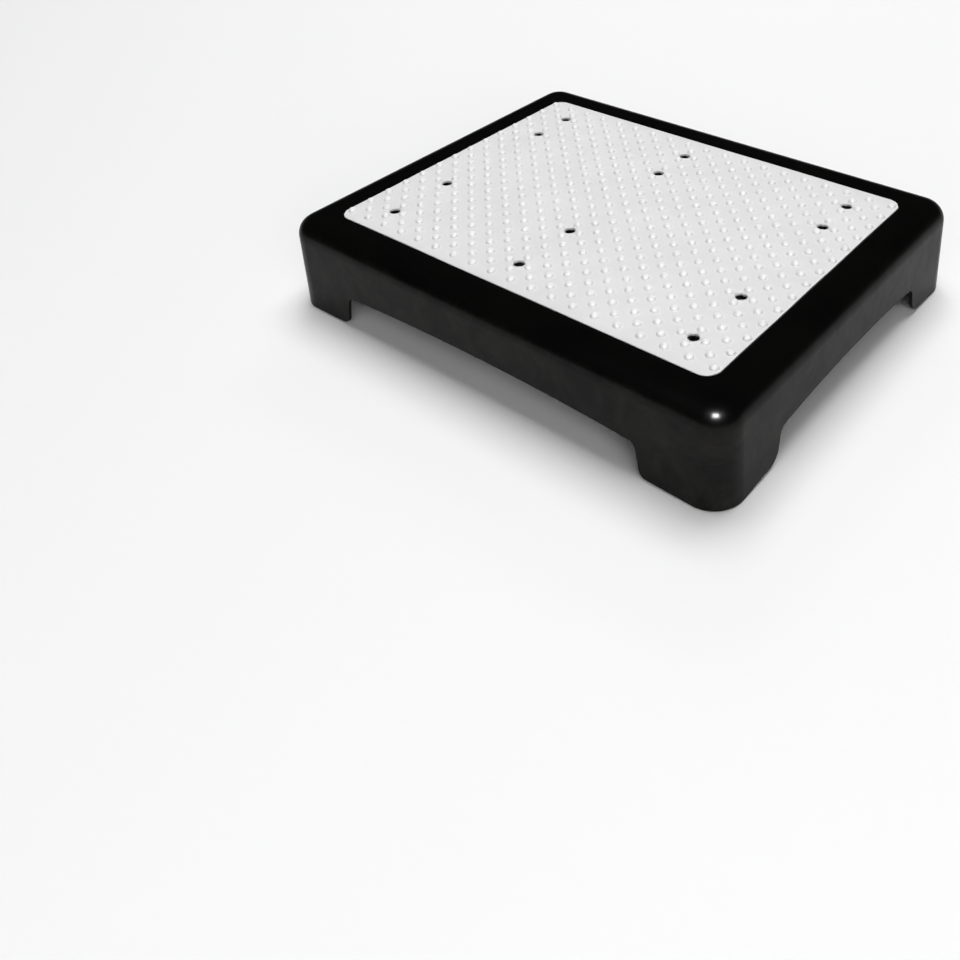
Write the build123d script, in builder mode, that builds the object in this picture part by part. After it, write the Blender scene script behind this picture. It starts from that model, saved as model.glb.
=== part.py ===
from build123d import *
import os
from math import asin, cos, radians, sin, tan

# Low moulded platform: a hollow shell on four corner feet, with a dimpled
# rubber mat set into its top and a rubber plug under each foot.
# Millimetres. X runs along the long side, -Y is the front, +Z is up.
# The origin is on the floor at the middle of the footprint.

os.makedirs("parts", exist_ok=True)

# Overall size
step_width = 488.0
step_depth = 390.0
step_height = 90.0

# Moulded shell
wall = 3.0
draft_angle = 2.6
corner_radius = 27.0
edge_radius = 18.0
plug_projection = 1.0

# Anti-slip mat and the recess it is glued into
rim_width = 37.5
mat_thickness = 2.0
mat_set_down = 0.4
mat_corner_radius = 13.0
mat_edge_round = 0.6
mat_clearance = 0.6
recess_edge_round = 0.8

# Raised domes: two interleaved grids that fill the mat up to its margin
dome_pitch = 22.3
dome_margin = 1.0
dome_diameter = 7.8
dome_height = 3.2
dome_root = 1.0

# Drain holes in the spaces between four domes, counted in pitches from the outer domes
drain_diameter = 9.6
drain_step_in = 0.9
drain_steps_from_sides = 1.5
drain_steps_from_front = (1, 4)
drain_steps_from_back = (1, 3)

# Cut-outs that leave the four feet standing
foot_length_front = 75.0
foot_length_side = 75.0
gap_end_height = 33.0
gap_mid_height = 38.5
foot_side_lean = 11.0
gap_top_round = 9.0
toe_round_front = 8.0
toe_round_side = 13.0
toe_rise_front = 1.5
toe_rise_side = 4.0

# Stiffening under the deck: ribs run front to back, gussets stand at the walls
rib_thickness = 2.2
rib_depth = 18.0
rib_count = 4
gusset_length = 42.0
side_gusset_count = 4
end_bay_width = 56.5
end_bay_depth = 94.5

# Corner posts and the rubber plugs pressed into them
post_diameter = 22.0
post_inset = 22.0
plug_pad_diameter = 24.0
plug_pad_thickness = 2.5
plug_stem_diameter = 12.0
plug_stem_length = 10.0
plug_clearance = 0.05
post_bore_depth = 55.0
web_thickness = 2.2
web_bottom = 20.0
plug_edge_round = 0.6

# Heights that follow from the sizes above
deck_top = step_height - mat_set_down - mat_thickness
deck_underside = deck_top - wall
rib_bottom = deck_underside - rib_depth
mat_top = step_height - mat_set_down
post_bottom = plug_pad_thickness
mat_width = step_width - 2 * rim_width
mat_depth = step_depth - 2 * rim_width
recess_width = mat_width + 2 * mat_clearance
recess_depth = mat_depth + 2 * mat_clearance
recess_radius = mat_corner_radius + mat_clearance
rib_spacing = (step_width - 2 * end_bay_width) / (rib_count + 1)
side_gusset_spacing = (step_depth - 2 * end_bay_depth) / (side_gusset_count - 1)
dome_columns = int((mat_width - dome_diameter - 2 * dome_margin) / dome_pitch) + 1
dome_rows = int((mat_depth - dome_diameter - 2 * dome_margin) / dome_pitch) + 1
outer_dome_x = (dome_columns - 1) / 2 * dome_pitch
outer_dome_y = (dome_rows - 1) / 2 * dome_pitch
drain_side_x = outer_dome_x - drain_steps_from_sides * dome_pitch
drain_middle_x = outer_dome_x - ((dome_columns - 1) // 2 + 0.5) * dome_pitch
drain_front_y = [steps * dome_pitch - outer_dome_y for steps in drain_steps_from_front]
drain_back_y = [outer_dome_y - steps * dome_pitch for steps in drain_steps_from_back]
drain_spots = [
    (x, y)
    for x in (-drain_side_x, drain_middle_x, drain_side_x)
    for y in drain_front_y + drain_back_y
]
dome_sphere = (dome_diameter**2 / 4 + dome_height**2) / (2 * dome_height)
dome_half_angle = asin(dome_diameter / 2 / dome_sphere)
dome_shoulder = (
    dome_sphere * sin(dome_half_angle / 2),
    dome_height - dome_sphere * (1 - cos(dome_half_angle / 2)),
)
post_x = step_width / 2 - post_inset
post_y = step_depth / 2 - post_inset
foot_corners = {
    "front_left": (-post_x, -post_y),
    "front_right": (post_x, -post_y),
    "back_left": (-post_x, post_y),
    "back_right": (post_x, post_y),
}


def platform_block(inset):
    """The drafted block with rounded top edges, its skin moved in by inset."""
    with BuildPart() as block:
        with BuildSketch(Plane.XY.offset(plug_projection)):
            RectangleRounded(
                step_width - 2 * inset, step_depth - 2 * inset, corner_radius - inset
            )
        extrude(amount=step_height - plug_projection - inset, taper=draft_angle)
        fillet(block.faces().sort_by(Axis.Z)[-1].edges(), edge_radius - inset)
    return block.part


def gap_cutter(plane, span, reach, foot_length, toe_round, toe_rise):
    """The space between two feet, run right through both of their walls."""
    toe_x = span / 2 - foot_length
    toe_z = plug_projection + toe_rise
    top_x = toe_x - tan(radians(foot_side_lean)) * (gap_end_height - toe_z)
    flat_x = span / 2 - corner_radius
    with BuildPart() as cutter:
        with BuildSketch(plane) as outline:
            with BuildLine():
                Polyline(
                    (-top_x, gap_end_height),
                    (-toe_x, toe_z),
                    (-flat_x, plug_projection),
                    (-flat_x, -wall),
                    (flat_x, -wall),
                    (flat_x, plug_projection),
                    (toe_x, toe_z),
                    (top_x, gap_end_height),
                )
                ThreePointArc(
                    (top_x, gap_end_height),
                    (0, gap_mid_height),
                    (-top_x, gap_end_height),
                )
            make_face()
            toes = outline.vertices().filter_by(lambda v: abs(abs(v.X) - toe_x) < 0.01)
            fillet(toes, toe_round)
            tops = outline.vertices().filter_by(lambda v: abs(abs(v.X) - top_x) < 0.01)
            fillet(tops, gap_top_round)
        extrude(amount=reach, both=True)
    return cutter.part


outer_block = platform_block(0)
cavity_block = platform_block(wall)
clip_block = platform_block(wall / 2)
front_gap = gap_cutter(
    Plane.XZ,
    step_width,
    step_depth,
    foot_length_front,
    toe_round_front,
    toe_rise_front,
)
side_gap = gap_cutter(
    Plane.YZ,
    step_depth,
    step_width,
    foot_length_side,
    toe_round_side,
    toe_rise_side,
)

# Ribs, edge gussets, corner webs and posts, trimmed to end inside the skin
with BuildPart() as stiffening:
    with BuildSketch(Plane.XY.offset(rib_bottom)):
        with GridLocations(rib_spacing, 0, rib_count, 1):
            Rectangle(rib_thickness, step_depth)
        with GridLocations(
            step_width - 2 * end_bay_width, step_depth - gusset_length, 2, 2
        ):
            Rectangle(rib_thickness, gusset_length)
        with GridLocations(
            step_width - gusset_length, side_gusset_spacing, 2, side_gusset_count
        ):
            Rectangle(gusset_length, rib_thickness)
    extrude(amount=step_height - rib_bottom)
    with BuildSketch(Plane.XY.offset(web_bottom)):
        with GridLocations(step_width - post_inset, 2 * post_y, 2, 2):
            Rectangle(post_inset, web_thickness)
        with GridLocations(2 * post_x, step_depth - post_inset, 2, 2):
            Rectangle(web_thickness, post_inset)
    extrude(amount=step_height - web_bottom)
    with BuildSketch(Plane.XY.offset(post_bottom)):
        with Locations(*foot_corners.values()):
            Circle(post_diameter / 2)
    extrude(amount=step_height - post_bottom)
    add(clip_block, mode=Mode.INTERSECT)

# Shell: deck, walls and feet in one moulding
with BuildPart() as shell:
    add(outer_block)
    add(cavity_block, mode=Mode.SUBTRACT)
    with BuildSketch(Plane.XY.offset(deck_underside)):
        RectangleRounded(
            recess_width + 2 * wall, recess_depth + 2 * wall, recess_radius + wall
        )
    extrude(amount=step_height - wall / 2 - deck_underside)
    add(stiffening.part)
    with BuildSketch(Plane.XY.offset(deck_top)):
        RectangleRounded(recess_width, recess_depth, recess_radius)
    extrude(amount=step_height - deck_top, mode=Mode.SUBTRACT)
    rim_top = shell.faces().sort_by(Axis.Z)[-1]
    fillet(rim_top.inner_wires()[0].edges(), recess_edge_round)
    with Locations(*[(x, y, deck_top) for x, y in drain_spots]):
        Hole(drain_diameter / 2 - drain_step_in, depth=2 * wall)
    with BuildSketch(Plane.XY.offset(post_bottom)):
        with Locations(*foot_corners.values()):
            Circle(plug_stem_diameter / 2 + plug_clearance)
    extrude(amount=post_bore_depth, mode=Mode.SUBTRACT)
    add(front_gap, mode=Mode.SUBTRACT)
    add(side_gap, mode=Mode.SUBTRACT)
shell.part.label = "shell"
export_step(shell.part, "parts/shell.step")

# One dome with a short root that sinks into the mat
with BuildPart() as dome:
    with BuildSketch(Plane.XZ):
        with BuildLine():
            Line((0, -dome_root), (0, dome_height))
            ThreePointArc((0, dome_height), dome_shoulder, (dome_diameter / 2, 0))
            Line((dome_diameter / 2, 0), (dome_diameter / 2, -dome_root))
            Line((dome_diameter / 2, -dome_root), (0, -dome_root))
        make_face()
    revolve(axis=Axis.Z)

# Anti-slip mat
with BuildPart() as tread_mat:
    with BuildSketch(Plane.XY.offset(deck_top)):
        RectangleRounded(mat_width, mat_depth, mat_corner_radius)
    extrude(amount=mat_thickness)
    fillet(tread_mat.faces().sort_by(Axis.Z)[-1].edges(), mat_edge_round)
    with Locations(*[(x, y, mat_top) for x, y in drain_spots]):
        Hole(drain_diameter / 2, depth=2 * mat_thickness)
    with Locations((0, 0, mat_top)):
        with GridLocations(dome_pitch, dome_pitch, dome_columns, dome_rows):
            add(dome.part)
        with GridLocations(dome_pitch, dome_pitch, dome_columns - 1, dome_rows - 1):
            add(dome.part)
tread_mat.part.label = "tread_mat"
export_step(tread_mat.part, "parts/tread_mat.step")

# Rubber plugs: the pad stands on the floor, the stem fills the post
for corner, (x, y) in foot_corners.items():
    with BuildPart() as foot_plug:
        with Locations((x, y, 0)):
            Cylinder(
                plug_pad_diameter / 2,
                plug_pad_thickness,
                align=(Align.CENTER, Align.CENTER, Align.MIN),
            )
        fillet(foot_plug.edges().sort_by(Axis.Z)[0], plug_edge_round)
        with Locations((x, y, plug_pad_thickness)):
            Cylinder(
                plug_stem_diameter / 2,
                plug_stem_length,
                align=(Align.CENTER, Align.CENTER, Align.MIN),
            )
        chamfer(foot_plug.edges().sort_by(Axis.Z)[-1], plug_edge_round)
    foot_plug.part.label = "foot_plug_" + corner
    export_step(foot_plug.part, "parts/foot_plug_" + corner + ".step")
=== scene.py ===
# %% [markdown]
# # A low step platform with a domed anti-slip mat
# The object is a hollow black plastic moulding on four corner feet, with a
# white rubber mat glued into a shallow recess in its top. The bodies and their
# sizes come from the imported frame. This script gives them their surfaces, and
# builds the mat again as a finer mesh, because its domes and punched holes are
# what the eye goes to.

import math

import bmesh
import bpy
from mathutils import Matrix, Vector


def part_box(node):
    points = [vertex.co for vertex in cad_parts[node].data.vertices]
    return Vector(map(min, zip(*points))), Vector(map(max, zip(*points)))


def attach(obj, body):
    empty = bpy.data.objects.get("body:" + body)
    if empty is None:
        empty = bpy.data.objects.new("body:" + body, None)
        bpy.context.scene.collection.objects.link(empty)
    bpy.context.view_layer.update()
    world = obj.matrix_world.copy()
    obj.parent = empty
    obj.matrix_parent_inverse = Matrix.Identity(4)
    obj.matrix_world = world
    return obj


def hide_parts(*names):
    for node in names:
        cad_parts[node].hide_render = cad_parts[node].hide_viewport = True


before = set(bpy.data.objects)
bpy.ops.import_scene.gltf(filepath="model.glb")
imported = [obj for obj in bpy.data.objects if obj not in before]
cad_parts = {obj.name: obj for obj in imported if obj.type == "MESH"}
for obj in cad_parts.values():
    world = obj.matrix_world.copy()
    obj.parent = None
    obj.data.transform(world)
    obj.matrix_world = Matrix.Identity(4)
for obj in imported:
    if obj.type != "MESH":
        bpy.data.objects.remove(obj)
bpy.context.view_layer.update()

# %% [markdown]
# ## Small helpers
# Colours are written as sRGB hex, as a designer reads them, and one function
# turns them to the linear values a shader needs. Another adds one node with its
# settings and its links, so each material below reads as a list of steps.


# %% Colour and node helpers
def linear(hex_colour):
    """An sRGB hex colour as linear RGBA."""
    parts = [int(hex_colour[i : i + 2], 16) / 255 for i in (1, 3, 5)]
    rgb = [c / 12.92 if c <= 0.04045 else ((c + 0.055) / 1.055) ** 2.4 for c in parts]
    return (*rgb, 1.0)


def add_node(tree, kind, settings=None, links=None, values=None):
    """One node: its properties, its input links and its input values."""
    node = tree.nodes.new(kind)
    for name, value in (settings or {}).items():
        setattr(node, name, value)
    for name, value in (values or {}).items():
        node.inputs[name].default_value = value
    for name, source in (links or {}).items():
        tree.links.new(source, node.inputs[name])
    return node


def new_material(name):
    """An empty node material with its output node."""
    material = bpy.data.materials.new(name)
    material.use_nodes = True
    material.node_tree.nodes.clear()
    output = add_node(material.node_tree, "ShaderNodeOutputMaterial")
    return material, material.node_tree, output


def set_ramp(node, stops):
    """Places a colour ramp's stops: (position, hex) pairs."""
    ramp = node.color_ramp
    while len(ramp.elements) > len(stops):
        ramp.elements.remove(ramp.elements[-1])
    while len(ramp.elements) < len(stops):
        ramp.elements.new(1.0)
    for element, (position, colour) in zip(ramp.elements, stops):
        element.position = position
        element.color = linear(colour)


MM = 0.001
print("one millimetre is", MM, "m")

# %% [markdown]
# ## Camera
# The view is from above the front right corner, with a slight tilt to one side.
# The object sits up and to the right of the middle of the frame. That could be
# had by turning the camera, but turning it would change how the parallel edges
# run together, so the lens is shifted instead, as on a view camera.

# %% Camera
camera_place = Vector((0.5114, -0.6370, 0.5497))
camera_aim = Vector((-0.5289, 0.6412, -0.5560)).normalized()
camera_right = Vector((0.7845, 0.6194, -0.0320))
camera_right = (camera_right - camera_right.dot(camera_aim) * camera_aim).normalized()
camera_up = camera_right.cross(camera_aim)
# The lens length, in the same units as a frame that is 960 wide
frame_side = 960
focal_side = 1018.1
sensor_width = 36.0

camera_data = bpy.data.cameras.new("view")
camera_data.sensor_width = sensor_width
camera_data.lens = sensor_width * focal_side / frame_side
camera_data.shift_x = -0.1350
camera_data.shift_y = -0.2008
camera = bpy.data.objects.new("view", camera_data)
turn = Matrix((camera_right, camera_up, -camera_aim)).transposed()
camera.matrix_world = Matrix.Translation(camera_place) @ turn.to_4x4()
bpy.context.collection.objects.link(camera)
bpy.context.scene.camera = camera
print("lens", round(camera_data.lens, 2), "mm")

# %% [markdown]
# ## Floor and light
# Black gloss shows only what it reflects. Seen from above, the walls mirror the
# pale floor and read as dark grey, and the rim mirrors the room, so it stays
# black only in a dim room. One bright sky over everything would be simpler, but
# it would turn the rim grey. So five soft boxes stand in a dim room. Four of
# them light the floor and the mat and aren't mirrored. The fifth is small and is
# only mirrored: it makes the one bright highlight on the rounded near corner.

# %% Floor
floor_material, floor_tree, floor_out = new_material("pale_painted_floor")
floor_noise = add_node(floor_tree, "ShaderNodeTexNoise", values={"Scale": 3.0, "Detail": 4.0})
floor_ramp = add_node(
    floor_tree, "ShaderNodeValToRGB", links={"Fac": floor_noise.outputs["Fac"]}
)
set_ramp(floor_ramp, [(0.3, "#f7f7f7"), (0.7, "#f9f9f9")])
floor_shader = add_node(
    floor_tree,
    "ShaderNodeBsdfPrincipled",
    links={"Base Color": floor_ramp.outputs["Color"]},
    values={"Roughness": 0.85},
)
floor_tree.links.new(floor_shader.outputs["BSDF"], floor_out.inputs["Surface"])

floor_half = 6.0
floor_corners = ((-1, -1), (1, -1), (1, 1), (-1, 1))
floor_mesh = bpy.data.meshes.new("floor")
floor_mesh.from_pydata(
    [(x * floor_half, y * floor_half, 0) for x, y in floor_corners],
    [],
    [(0, 1, 2, 3)],
)
floor_mesh.materials.append(floor_material)
floor = bpy.data.objects.new("floor", floor_mesh)
bpy.context.collection.objects.link(floor)
print("floor", 2 * floor_half, "m square")


# %% Soft boxes and the dim room
def soft_box(name, place, target, size, watts, mirrored=False):
    """A square area light aimed at a point. It lights matt surfaces or is mirrored."""
    data = bpy.data.lights.new(name, "AREA")
    data.size = size
    data.energy = watts
    box = bpy.data.objects.new(name, data)
    box.visible_glossy = mirrored
    box.visible_diffuse = not mirrored
    aim = (Vector(target) - Vector(place)).to_track_quat("-Z", "Y")
    box.matrix_world = Matrix.Translation(Vector(place)) @ aim.to_matrix().to_4x4()
    bpy.context.collection.objects.link(box)


# The main light, a little behind, so that the domes shade at their front
soft_box("overhead_box", (-0.6, 1.5, 5.4), (-0.4, 0.6, 0), 4.0, 300)
# Low fill for the right wall
soft_box("side_box", (2.5, -1.5, 1.3), (0.24, -0.1, 0.03), 1.4, 24)
# Keeps the far floor as pale as the near floor
soft_box("backdrop_box", (-3.0, 4.2, 3.0), (-3.2, 4.4, 0), 3.0, 70)
# Weak fill for the front wall
soft_box("front_box", (1.2, -3.0, 2.0), (0.2, 0, 0.03), 2.0, 14)
# The highlight on the near corner
soft_box("corner_box", (0.9, -1.1, 1.5), (0.1, -0.1, 0.08), 0.50, 160, mirrored=True)

# %% The dim room
room = bpy.data.worlds.new("dim_room")
bpy.context.scene.world = room
room.use_nodes = True
room.node_tree.nodes["Background"].inputs["Color"].default_value = linear("#232324")
room.node_tree.nodes["Background"].inputs["Strength"].default_value = 1.0
bpy.context.scene.view_settings.view_transform = "Standard"
print("world", room.name)

# %% [markdown]
# ## Black shell: satin moulded polypropylene
# The shell is injection moulded polypropylene. Its mould was spark eroded to a
# very fine satin, so it has a soft sheen, not a mirror. Where a rib meets the
# skin from behind, the plastic shrinks and leaves a faint sink line. Handling
# leaves slightly glossier and duller patches, and the lower edges pick up pale
# scuffs. The sinks and waves could be modelled, but they are a few hundredths to
# a few tenths of a millimetre deep, so they are bump in the material, and the
# body that came with the frame stays as it is.

# %% Shell material: colour and sheen
shell_material, shell_tree, shell_out = new_material("moulded_polypropylene_black")
shell_place = add_node(shell_tree, "ShaderNodeTexCoord").outputs["Object"]
shell_axes = add_node(
    shell_tree, "ShaderNodeSeparateXYZ", links={"Vector": shell_place}
).outputs

# Flow patches, left as the melt cooled against the mould
patch_size = 60 * MM
patches = add_node(
    shell_tree,
    "ShaderNodeTexNoise",
    links={"Vector": shell_place},
    values={"Scale": 1 / patch_size, "Detail": 3.0, "Roughness": 0.55},
)
patch_colour = add_node(
    shell_tree, "ShaderNodeValToRGB", links={"Fac": patches.outputs["Fac"]}
)
set_ramp(patch_colour, [(0.3, "#050505"), (0.7, "#080807")])
sheen_low, sheen_high = 0.30, 0.38
patch_sheen = add_node(
    shell_tree,
    "ShaderNodeMapRange",
    links={"Value": patches.outputs["Fac"]},
    values={"From Min": 0.3, "From Max": 0.7, "To Min": sheen_low, "To Max": sheen_high},
)
print("flow patches", patch_size / MM, "mm, roughness", sheen_low, "to", sheen_high)

# %% Shell material: spark-eroded grain
# The real grain is about 0.1 mm. That is finer than the render can show, so it
# is drawn at 0.7 mm, low enough that only the highlights break up.
grain_size = 0.7 * MM
grain = add_node(
    shell_tree,
    "ShaderNodeTexNoise",
    links={"Vector": shell_place},
    values={"Scale": 1 / grain_size, "Detail": 2.0, "Roughness": 0.6},
)
print("grain drawn at", round(grain_size / MM, 2), "mm")


# %% Shell material: sink lines over the ribs
rib_spacing = 75 * MM
side_gusset_spacing = 67 * MM
sink_half_width = 3.5 * MM


def beyond(axis, low, high):
    """0 nearer than low and 1 beyond high, from the middle of the object."""
    size = add_node(
        shell_tree, "ShaderNodeMath", {"operation": "ABSOLUTE"}, {0: shell_axes[axis]}
    )
    step = add_node(
        shell_tree,
        "ShaderNodeMapRange",
        {"interpolation_type": "SMOOTHSTEP"},
        {"Value": size.outputs[0]},
        {"From Min": low, "From Max": high},
    )
    return step.outputs["Result"]


def sink_line(axis, spacing, across, limit):
    """A shallow dip over each rib, only where the rib meets the outer skin."""
    moved = add_node(
        shell_tree, "ShaderNodeMath", {"operation": "ADD"}, {0: shell_axes[axis]}, {1: spacing / 2}
    )
    away = add_node(
        shell_tree,
        "ShaderNodeMath",
        {"operation": "PINGPONG"},
        {0: moved.outputs[0]},
        {1: spacing / 2},
    )
    dip = add_node(
        shell_tree,
        "ShaderNodeMapRange",
        {"interpolation_type": "SMOOTHSTEP"},
        {"Value": away.outputs[0]},
        {"From Min": 0.0, "From Max": sink_half_width, "To Min": 1.0, "To Max": 0.0},
    )
    side = add_node(
        shell_tree,
        "ShaderNodeMath",
        {"operation": "MULTIPLY"},
        {0: dip.outputs["Result"], 1: beyond(across, limit, limit + 8 * MM)},
    )
    high = add_node(
        shell_tree,
        "ShaderNodeMath",
        {"operation": "MULTIPLY"},
        {0: side.outputs[0], 1: beyond("Z", 64 * MM, 72 * MM)},
    )
    return high.outputs[0]


# Only on the rounded top edge: out past the level rim and high on the walls
all_sinks = add_node(
    shell_tree,
    "ShaderNodeMath",
    {"operation": "MAXIMUM"},
    {
        0: sink_line("X", rib_spacing, "Y", 160 * MM),
        1: sink_line("Y", side_gusset_spacing, "X", 209 * MM),
    },
)
print("sink lines every", rib_spacing, "m in front,", side_gusset_spacing, "m at the sides")

# %% Shell material: warped skin
# A wide flat wall cools unevenly and never stays quite flat. The waves are long
# and a few tenths of a millimetre high, which is enough to make the sheen cloudy.
warp_length = 40 * MM
warp = add_node(
    shell_tree,
    "ShaderNodeTexNoise",
    links={"Vector": shell_place},
    values={"Scale": 1 / warp_length, "Detail": 3.0, "Roughness": 0.5},
)
print("warp waves", warp_length / MM, "mm long")

# %% Shell material: dust film and painted reflection on the walls
# A thin, cloudy, warm grey film on the walls, partly a dust tint and partly painted reflection:
# its lighter clouds stand in for the sheen the walls mirror from the pale floor. It goes on
# upright faces only, so the walls are painted lighter than the level top, as the light falls.
shell_face = add_node(shell_tree, "ShaderNodeNewGeometry")
facing = add_node(
    shell_tree, "ShaderNodeSeparateXYZ", links={"Vector": shell_face.outputs["Normal"]}
)
upright = add_node(
    shell_tree,
    "ShaderNodeMapRange",
    {"interpolation_type": "SMOOTHSTEP"},
    {"Value": facing.outputs["Z"]},
    {"From Min": 0.1, "From Max": 0.7, "To Min": 1.0, "To Max": 0.0},
)
cloud_size = 28 * MM
clouds = add_node(
    shell_tree,
    "ShaderNodeTexNoise",
    links={"Vector": shell_place},
    values={"Scale": 1 / cloud_size, "Detail": 4.0, "Roughness": 0.6, "Distortion": 0.6},
)
cloud_share = add_node(
    shell_tree,
    "ShaderNodeMapRange",
    links={"Value": clouds.outputs["Fac"]},
    values={"From Min": 0.38, "From Max": 0.68, "To Min": 0.0, "To Max": 0.5},
)
# Painted reflection with a dust tint: lighter warm clouds, on the upright faces only
dust_and_painted_reflection = add_node(
    shell_tree,
    "ShaderNodeMath",
    {"operation": "MULTIPLY"},
    {0: upright.outputs["Result"], 1: cloud_share.outputs["Result"]},
)
# Inputs 6 and 7 of a colour mix are its two colours
dust_and_reflection_colour = add_node(
    shell_tree,
    "ShaderNodeMix",
    {"data_type": "RGBA"},
    {"Factor": dust_and_painted_reflection.outputs[0], 6: patch_colour.outputs["Color"]},
    {7: linear("#262521")},
)
print("film clouds", cloud_size / MM, "mm across, on upright faces only")

# %% Shell material: scuffs near the floor
# Feet and lower edges rub on the floor: short pale marks that fade out upwards
scuff_size = 5 * MM
scuff_top = 25 * MM
scuff_noise = add_node(
    shell_tree,
    "ShaderNodeTexNoise",
    links={"Vector": shell_place},
    values={"Scale": 1 / scuff_size, "Detail": 6.0, "Roughness": 0.7},
)
scuff_spots = add_node(
    shell_tree,
    "ShaderNodeMapRange",
    links={"Value": scuff_noise.outputs["Fac"]},
    values={"From Min": 0.56, "From Max": 0.72},
)
scuff_height = add_node(
    shell_tree,
    "ShaderNodeMapRange",
    links={"Value": shell_axes["Z"]},
    values={"From Min": 2 * MM, "From Max": scuff_top, "To Min": 0.4, "To Max": 0.0},
)
scuffs = add_node(
    shell_tree,
    "ShaderNodeMath",
    {"operation": "MULTIPLY"},
    {0: scuff_spots.outputs["Result"], 1: scuff_height.outputs["Result"]},
)
scuff_colour = add_node(
    shell_tree,
    "ShaderNodeMix",
    {"data_type": "RGBA"},
    {"Factor": scuffs.outputs[0], 6: dust_and_reflection_colour.outputs[2]},
    {7: linear("#33322f")},
)
# A scuff is also duller than the skin round it
shell_sheen = add_node(
    shell_tree,
    "ShaderNodeMath",
    {"operation": "MULTIPLY_ADD"},
    {0: scuffs.outputs[0], 2: patch_sheen.outputs["Result"]},
    {1: 0.35},
)
print("scuffs fade out by", scuff_top / MM, "mm above the floor")

# %% Shell material: bumps
# The bevel node softens the cut edges of the gaps, which the mould rounds by
# about 0.6 mm, so they catch a thin line of light. Waves, sinks and grain follow.
soft_edge = add_node(shell_tree, "ShaderNodeBevel", {"samples": 6}, values={"Radius": 0.6 * MM})
warp_bump = add_node(
    shell_tree,
    "ShaderNodeBump",
    links={"Height": warp.outputs["Fac"], "Normal": soft_edge.outputs["Normal"]},
    values={"Strength": 1.0, "Distance": 0.5 * MM},
)
sink_bump = add_node(
    shell_tree,
    "ShaderNodeBump",
    {"invert": True},
    {"Height": all_sinks.outputs[0], "Normal": warp_bump.outputs["Normal"]},
    {"Strength": 1.0, "Distance": 0.06 * MM},
)
grain_bump = add_node(
    shell_tree,
    "ShaderNodeBump",
    links={"Height": grain.outputs["Fac"], "Normal": sink_bump.outputs["Normal"]},
    values={"Strength": 0.12, "Distance": 0.05 * MM},
)
print("bevel, warp, sinks and grain in one chain of normals")

# %% Shell material: put together
# The black plastic itself mirrors little. The smooth skin that freezes against
# the mould is a thin coat over it, and gives the clear highlight.
shell_shader = add_node(
    shell_tree,
    "ShaderNodeBsdfPrincipled",
    links={
        "Base Color": scuff_colour.outputs[2],
        "Roughness": shell_sheen.outputs[0],
        "Normal": grain_bump.outputs["Normal"],
    },
    values={
        "IOR": 1.49,
        "Specular IOR Level": 0.02,
        "Coat Weight": 0.20,
        "Coat Roughness": 0.23,
        "Coat IOR": 1.49,
    },
)
shell_tree.links.new(shell_shader.outputs["BSDF"], shell_out.inputs["Surface"])
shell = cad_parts["shell"]
for material_slot in shell.material_slots:
    material_slot.material = shell_material
print("shell", len(shell.data.polygons), "faces, slots", len(shell.material_slots))

# %% [markdown]
# ## White mat: its shape
# The mat is a sheet of soft moulded rubber. Its domes stand on two square grids,
# each in the middle of the other's squares, so every dome or empty space is the
# middle of one square tile. That makes the mesh easy: each tile is rings that
# run from its square edge to a circle, then up a dome, down through a hole, or
# flat. The tiles share their edge points. The outer tiles stretch to the mat's
# rounded outline. The domes flow into the sheet with a small radius, as moulded
# rubber does, and the holes are punched afterwards, so no two are quite alike.

# %% Mat sizes, read from the frame where it has them
mat_low, mat_high = (Vector(corner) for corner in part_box("tread_mat"))
dome_pitch = 22.3 * MM
tile = dome_pitch / 2
dome_height = 3.2 * MM
dome_radius = 3.9 * MM
mat_top = mat_high.z - dome_height
mat_bottom = mat_low.z
mat_half = ((mat_high.x - mat_low.x) / 2, (mat_high.y - mat_low.y) / 2)
mat_corner = 13 * MM
mat_round = 0.6 * MM
hole_radius = 4.8 * MM
hole_spots = {(a, b) for a in (-15, -1, 15) for b in (-11, -5, 7, 11)}
# Tiles each way from the middle one, and steps along one tile's edge
tiles_x, tiles_y = 18, 13
edge_steps = 8
last_i, last_j = (2 * tiles_x + 1) * edge_steps, (2 * tiles_y + 1) * edge_steps
print("mat", [round(2 * h / MM, 1) for h in mat_half], "mm, top at", round(mat_top / MM, 2))


# %% The outline that the outer tiles stretch to
edge_set_back = 0.3 * MM
wander_height = 0.15 * MM


def edge_wander(x, y):
    """How far the cut edge of the sheet wanders in and out, never past its set back."""
    return wander_height * (math.sin(41 * x + 0.7) + math.sin(67 * y - 29 * x + 2.1))


def on_outline(x, y, inset):
    """The point of the rounded outline that a point of the outer rectangle goes to."""
    half_x, half_y = mat_half[0] - inset, mat_half[1] - inset
    radius = mat_corner - inset
    core_x, core_y = half_x - radius, half_y - radius
    x, y = max(-half_x, min(half_x, x)), max(-half_y, min(half_y, y))
    over_x, over_y = abs(x) - core_x, abs(y) - core_y
    if over_x > 0 and over_y > 0:
        scale = radius / math.hypot(over_x, over_y)
        x = math.copysign(core_x + over_x * scale, x)
        y = math.copysign(core_y + over_y * scale, y)
    shrink = edge_set_back + edge_wander(x, y)
    long = math.hypot(x, y)
    return x - x / long * shrink, y - y / long * shrink


def net_place(i, j):
    """A point of the square net, with the net's rim moved out to the mat's sides."""
    x = (i / edge_steps - tiles_x - 0.5) * tile
    y = (j / edge_steps - tiles_y - 0.5) * tile
    x = math.copysign(mat_half[0], x) if i in (0, last_i) else x
    y = math.copysign(mat_half[1], y) if j in (0, last_j) else y
    return x, y


def tile_point(i, j):
    """A point of the shared net; its rim lies on the mat's rounded outline."""
    x, y = net_place(i, j)
    on_rim = i in (0, last_i) or j in (0, last_j)
    return on_outline(x, y, mat_round) if on_rim else (x, y)


print("net", (2 * tiles_x + 1), "by", (2 * tiles_y + 1), "tiles")


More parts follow.
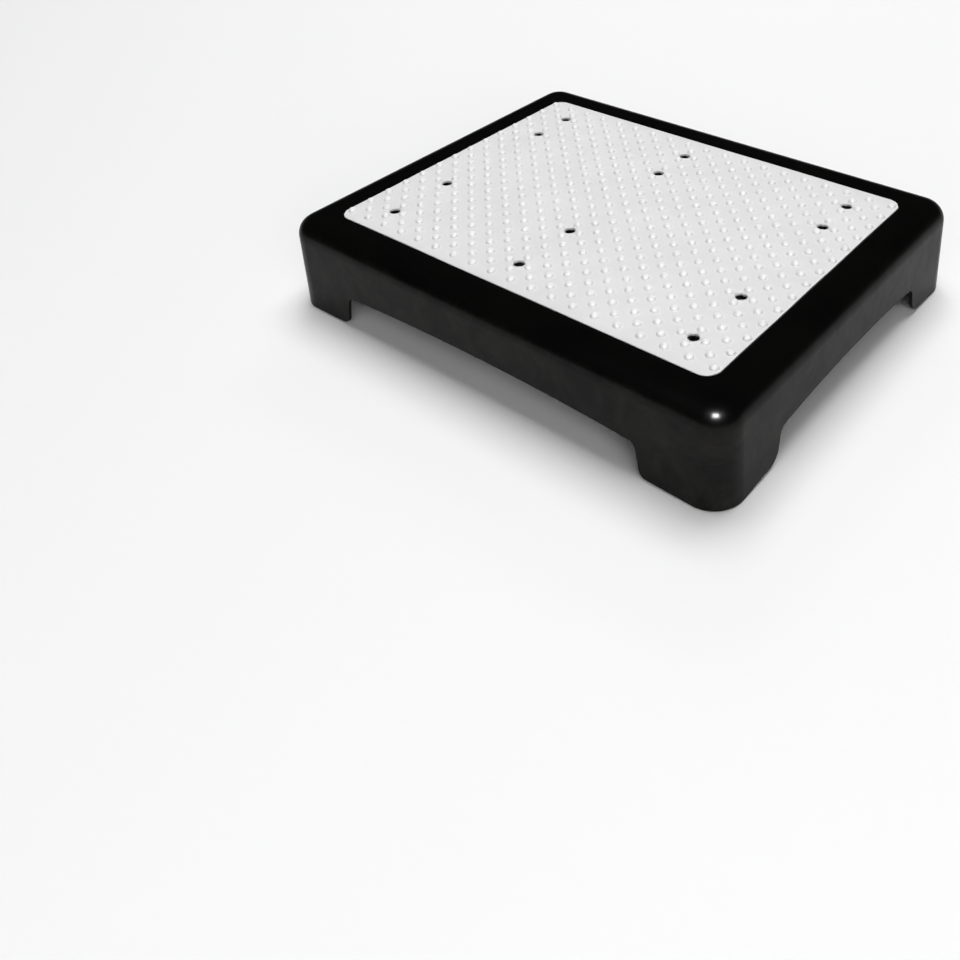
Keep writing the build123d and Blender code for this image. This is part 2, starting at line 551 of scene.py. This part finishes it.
# %% Profile of a dome
# The cap of a ball, eased into the sheet over the blend. The tail is the little
# that the easing would leave standing on the flat sheet.
dome_blend = 0.15 * MM
blend_tail = 0.001 * MM
dome_rings = [c * MM for c in (4.7, 4.2, 3.98, 3.88, 3.76, 3.55, 3.2, 2.7, 2.1, 1.4, 0.7)]


def dome_profile(radius, height):
    """Height over the sheet at a distance from the dome's middle."""
    ball = (dome_radius**2 + height**2) / (2 * height)
    cap = math.sqrt(max(ball**2 - radius**2, 0.0)) - (ball - height)
    return 0.5 * (cap + math.sqrt(cap**2 + dome_blend**2)) - blend_tail


print("dome rings", len(dome_rings))

# %% Profile of a punched hole
# The punch drags the rubber down a little at the lip, then cuts nearly straight.
# Each pair is how far a ring stands outside the hole and how deep, in millimetres.
hole_drops = ((0.36, 0.0), (0.24, -0.06), (0.20, -0.20), (0.08, -1.2))
hole_collar = 6.4 * MM
oval_share, ripple_share = 0.03, 0.012
tag_width = 0.22


def punched_radius(a, b, angle):
    """The radius of one punched hole: slightly oval, with a small uncut tag."""
    turn = 0.9 * a + 1.7 * b
    radius = hole_radius * (1 + oval_share * math.cos(2 * angle + turn))
    radius *= 1 + ripple_share * math.sin(5 * angle + 2 * turn)
    off = math.remainder(angle - 1.9 - 0.35 * math.sin(turn), 2 * math.pi)
    tag = (0.7 + 0.5 * math.sin(3 * turn)) * MM
    return radius - tag * math.exp(-((off / tag_width) ** 2))


print("hole rings", len(hole_drops))

# %% Helpers that build one tile
mat_mesh = bmesh.new()
net = {}


def net_vertex(i, j, z):
    """The shared vertex at a net point, made once."""
    key = (i, j, z)
    if key not in net:
        x, y = tile_point(i, j)
        net[key] = mat_mesh.verts.new((x, y, z))
    return net[key]


def tile_edge(a, b, z):
    """A tile's edge vertices, counter-clockwise from its low corner."""
    low_i, low_j = (a + tiles_x) * edge_steps, (b + tiles_y) * edge_steps
    walk = [(low_i + k, low_j) for k in range(edge_steps)]
    walk += [(low_i + edge_steps, low_j + k) for k in range(edge_steps)]
    walk += [(low_i + edge_steps - k, low_j + edge_steps) for k in range(edge_steps)]
    walk += [(low_i, low_j + edge_steps - k) for k in range(edge_steps)]
    return [net_vertex(i, j, z) for i, j in walk]


def join_rings(outer, inner):
    """Quads between two rings of the same count."""
    count = len(outer)
    for k in range(count):
        n = (k + 1) % count
        mat_mesh.faces.new((outer[k], outer[n], inner[n], inner[k]))


def close_ring(ring, centre):
    """Triangles from a ring to its middle."""
    for k in range(len(ring)):
        mat_mesh.faces.new((ring[k], ring[(k + 1) % len(ring)], centre))


def ring_at(edge, middle, radius_of, z_of, share=1.0):
    """A ring inside a tile, share of the way from its edge to a circle."""
    ring = []
    for vertex in edge:
        dx, dy = vertex.co.x - middle[0], vertex.co.y - middle[1]
        angle = math.atan2(dy, dx)
        radius = radius_of(angle)
        x = middle[0] + dx * (1 - share) + radius * math.cos(angle) * share
        y = middle[1] + dy * (1 - share) + radius * math.sin(angle) * share
        ring.append(mat_mesh.verts.new((x, y, z_of)))
    return ring


print("tile helpers ready, net points so far", len(net))


# %% The three kinds of tile
def dome_tile(a, b, middle, edge, under):
    """Rings up a dome. Heights differ by up to 4 percent, and none passes the top."""
    height = dome_height * (0.975 + 0.02 * math.sin(3.1 * a + 5.3 * b))
    last = edge
    for radius in dome_rings:
        z = mat_top + dome_profile(radius, height)
        ring = ring_at(edge, middle, lambda angle: radius, z)
        join_rings(last, ring)
        last = ring
    close_ring(last, mat_mesh.verts.new((*middle, mat_top + dome_profile(0.0, height))))
    close_ring(under[::-1], mat_mesh.verts.new((*middle, mat_bottom)))


def hole_tile(a, b, middle, edge, under):
    """A flat collar, then rings down through the sheet to its underside."""
    last = ring_at(edge, middle, lambda angle: hole_collar, mat_top)
    join_rings(edge, last)
    for grow, drop in (*hole_drops, (0.0, None)):
        z = mat_bottom if drop is None else mat_top + drop * MM
        ring = ring_at(edge, middle, lambda angle: punched_radius(a, b, angle) + grow * MM, z)
        join_rings(last, ring)
        last = ring
    join_rings(last, under)


def flat_tile(middle, edge, under):
    """A plain square of sheet, top and bottom."""
    close_ring(edge, mat_mesh.verts.new((*middle, mat_top)))
    close_ring(under[::-1], mat_mesh.verts.new((*middle, mat_bottom)))


print("tiles: dome, hole and flat")

# %% Lay all tiles
domes = holes = 0
for a in range(-tiles_x, tiles_x + 1):
    for b in range(-tiles_y, tiles_y + 1):
        middle = (a * tile, b * tile)
        edge = tile_edge(a, b, mat_top)
        under = tile_edge(a, b, mat_bottom)
        if (a + b) % 2:
            domes += 1
            dome_tile(a, b, middle, edge, under)
        elif (a, b) in hole_spots:
            holes += 1
            hole_tile(a, b, middle, edge, under)
        else:
            flat_tile(middle, edge, under)
print("domes", domes, "holes", holes)

# %% Round the mat's outer edge and close its side
bottom_lift = 0.2 * MM
walk = [(i, 0) for i in range(last_i)]
walk += [(last_i, j) for j in range(last_j)]
walk += [(last_i - i, last_j) for i in range(last_i)]
walk += [(0, last_j - j) for j in range(last_j)]


def border_ring(inset, z):
    """A ring of the mat's outline, moved in by inset."""
    places = [on_outline(*net_place(i, j), inset) for i, j in walk]
    return [mat_mesh.verts.new((*place, z)) for place in places]


last = [net[(i, j, mat_top)] for i, j in walk]
for degrees in (22.5, 45, 67.5, 90):
    turn = math.radians(degrees)
    ring = border_ring(
        mat_round * (1 - math.sin(turn)), mat_top - mat_round * (1 - math.cos(turn))
    )
    join_rings(ring, last)
    last = ring
ring = border_ring(0.0, mat_bottom + bottom_lift)
join_rings(ring, last)
join_rings([net[(i, j, mat_bottom)] for i, j in walk], ring)
print("border points", len(walk))

# %% Make the mat an object that rides on the body
mat_mesh.normal_update()
bmesh.ops.recalc_face_normals(mat_mesh, faces=mat_mesh.faces)
open_edges = sum(not edge.is_manifold for edge in mat_mesh.edges)
mat_data = bpy.data.meshes.new("domed_mat")
mat_mesh.to_mesh(mat_data)
mat_mesh.free()
mat_data.shade_smooth()
domed_mat = bpy.data.objects.new("domed_mat", mat_data)
bpy.context.collection.objects.link(domed_mat)
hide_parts("tread_mat")
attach(domed_mat, "root")
print("mat faces", len(mat_data.polygons), "open edges", open_edges)

# %% [markdown]
# ## White mat: soft moulded rubber
# Soft rubber scatters a little light under its surface, so its shadows stay gentle, and its sheen
# is broad. The mould leaves a fine matt pebble. The tops of the domes are a little glossier. Their
# colour is painted lighter and the sheet between them greyer: painted light on the tops and
# painted shade between the domes. It follows the height over the sheet, so the height drives it.

# %% Mat material: painted light and shade by height
cap_height = 1.9 * MM
handled_size = 35 * MM
rubber_material, rubber_tree, rubber_out = new_material("moulded_rubber_white")
rubber_place = add_node(rubber_tree, "ShaderNodeTexCoord").outputs["Object"]
rubber_axes = add_node(
    rubber_tree, "ShaderNodeSeparateXYZ", links={"Vector": rubber_place}
).outputs
rise = add_node(
    rubber_tree,
    "ShaderNodeMapRange",
    {"interpolation_type": "SMOOTHSTEP"},
    {"Value": rubber_axes["Z"]},
    {"From Min": mat_top - 0.1 * MM, "From Max": mat_top + cap_height},
)
handled = add_node(
    rubber_tree,
    "ShaderNodeTexNoise",
    links={"Vector": rubber_place},
    values={"Scale": 1 / handled_size, "Detail": 5.0, "Roughness": 0.6},
)
sheet_colour = add_node(
    rubber_tree, "ShaderNodeValToRGB", links={"Fac": handled.outputs["Fac"]}
)
set_ramp(sheet_colour, [(0.25, "#dcdbdc"), (0.75, "#e3e3e3")])
# Painted light and shade: the grey sheet whitens up each dome, so the tops are lighter as the
# light falls
dome_light_and_shade_colour = add_node(
    rubber_tree,
    "ShaderNodeMix",
    {"data_type": "RGBA"},
    {"Factor": rise.outputs["Result"], 6: sheet_colour.outputs["Color"]},
    {7: linear("#f1f1f1")},
)
print("sheet grey up to white by", round(cap_height / MM, 2), "mm up a dome")

# %% Mat material: sheen and pebble
rubber_sheen = add_node(
    rubber_tree,
    "ShaderNodeMapRange",
    links={"Value": rise.outputs["Result"]},
    values={"To Min": 0.66, "To Max": 0.60},
)
# The mould's pebble is about 0.3 mm, drawn at 0.8 mm so that it shows
pebble_size = 0.8 * MM
pebble = add_node(
    rubber_tree,
    "ShaderNodeTexNoise",
    links={"Vector": rubber_place},
    values={"Scale": 1 / pebble_size, "Detail": 3.0, "Roughness": 0.6},
)
pebble_bump = add_node(
    rubber_tree,
    "ShaderNodeBump",
    links={"Height": pebble.outputs["Fac"]},
    values={"Strength": 0.35, "Distance": 0.12 * MM},
)
print("pebble drawn at", round(pebble_size / MM, 2), "mm")

# %% Mat material: put together
rubber_shader = add_node(
    rubber_tree,
    "ShaderNodeBsdfPrincipled",
    links={
        "Base Color": dome_light_and_shade_colour.outputs[2],
        "Roughness": rubber_sheen.outputs["Result"],
        "Normal": pebble_bump.outputs["Normal"],
    },
    values={
        "IOR": 1.52,
        "Subsurface Weight": 0.03,
        "Subsurface Radius": (1.0, 0.95, 0.9),
        "Subsurface Scale": 0.8 * MM,
    },
)
rubber_tree.links.new(rubber_shader.outputs["BSDF"], rubber_out.inputs["Surface"])
mat_data.materials.append(rubber_material)
print("mat material on", domed_mat.name)

# %% [markdown]
# ## Foot plugs: black rubber
# Each foot ends in a rubber plug that stops it sliding. Rubber of this sort is
# matt and slightly blue-black, and its tread face picks up grey dust. The plugs
# hardly show, so the bodies from the frame stay and only get this finish.

# %% Plug material: dust near the floor
dust_size = 3 * MM
dust_top = 1.5 * MM
plug_material, plug_tree, plug_out = new_material("moulded_rubber_black")
plug_place = add_node(plug_tree, "ShaderNodeTexCoord").outputs["Object"]
plug_axes = add_node(plug_tree, "ShaderNodeSeparateXYZ", links={"Vector": plug_place})
dust_noise = add_node(
    plug_tree,
    "ShaderNodeTexNoise",
    links={"Vector": plug_place},
    values={"Scale": 1 / dust_size, "Detail": 5.0, "Roughness": 0.65},
)
dust_height = add_node(
    plug_tree,
    "ShaderNodeMapRange",
    links={"Value": plug_axes.outputs["Z"]},
    values={"From Min": 0.0, "From Max": dust_top, "To Min": 0.6, "To Max": 0.1},
)
dust = add_node(
    plug_tree,
    "ShaderNodeMath",
    {"operation": "MULTIPLY"},
    {0: dust_noise.outputs["Fac"], 1: dust_height.outputs["Result"]},
)
plug_colour = add_node(
    plug_tree, "ShaderNodeValToRGB", links={"Fac": dust.outputs[0]}
)
set_ramp(plug_colour, [(0.0, "#17181a"), (0.5, "#4a4a48")])
print("dust fades out by", dust_top / MM, "mm up")

# %% Plug material: put together
plug_bump = add_node(
    plug_tree,
    "ShaderNodeBump",
    links={"Height": dust_noise.outputs["Fac"]},
    values={"Strength": 0.3, "Distance": 0.1 * MM},
)
plug_shader = add_node(
    plug_tree,
    "ShaderNodeBsdfPrincipled",
    links={
        "Base Color": plug_colour.outputs["Color"],
        "Normal": plug_bump.outputs["Normal"],
    },
    values={"Roughness": 0.78, "IOR": 1.52},
)
plug_tree.links.new(plug_shader.outputs["BSDF"], plug_out.inputs["Surface"])
for name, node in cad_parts.items():
    if name.startswith("foot_plug_"):
        for material_slot in node.material_slots:
            material_slot.material = plug_material
        print(name, "in", plug_material.name)
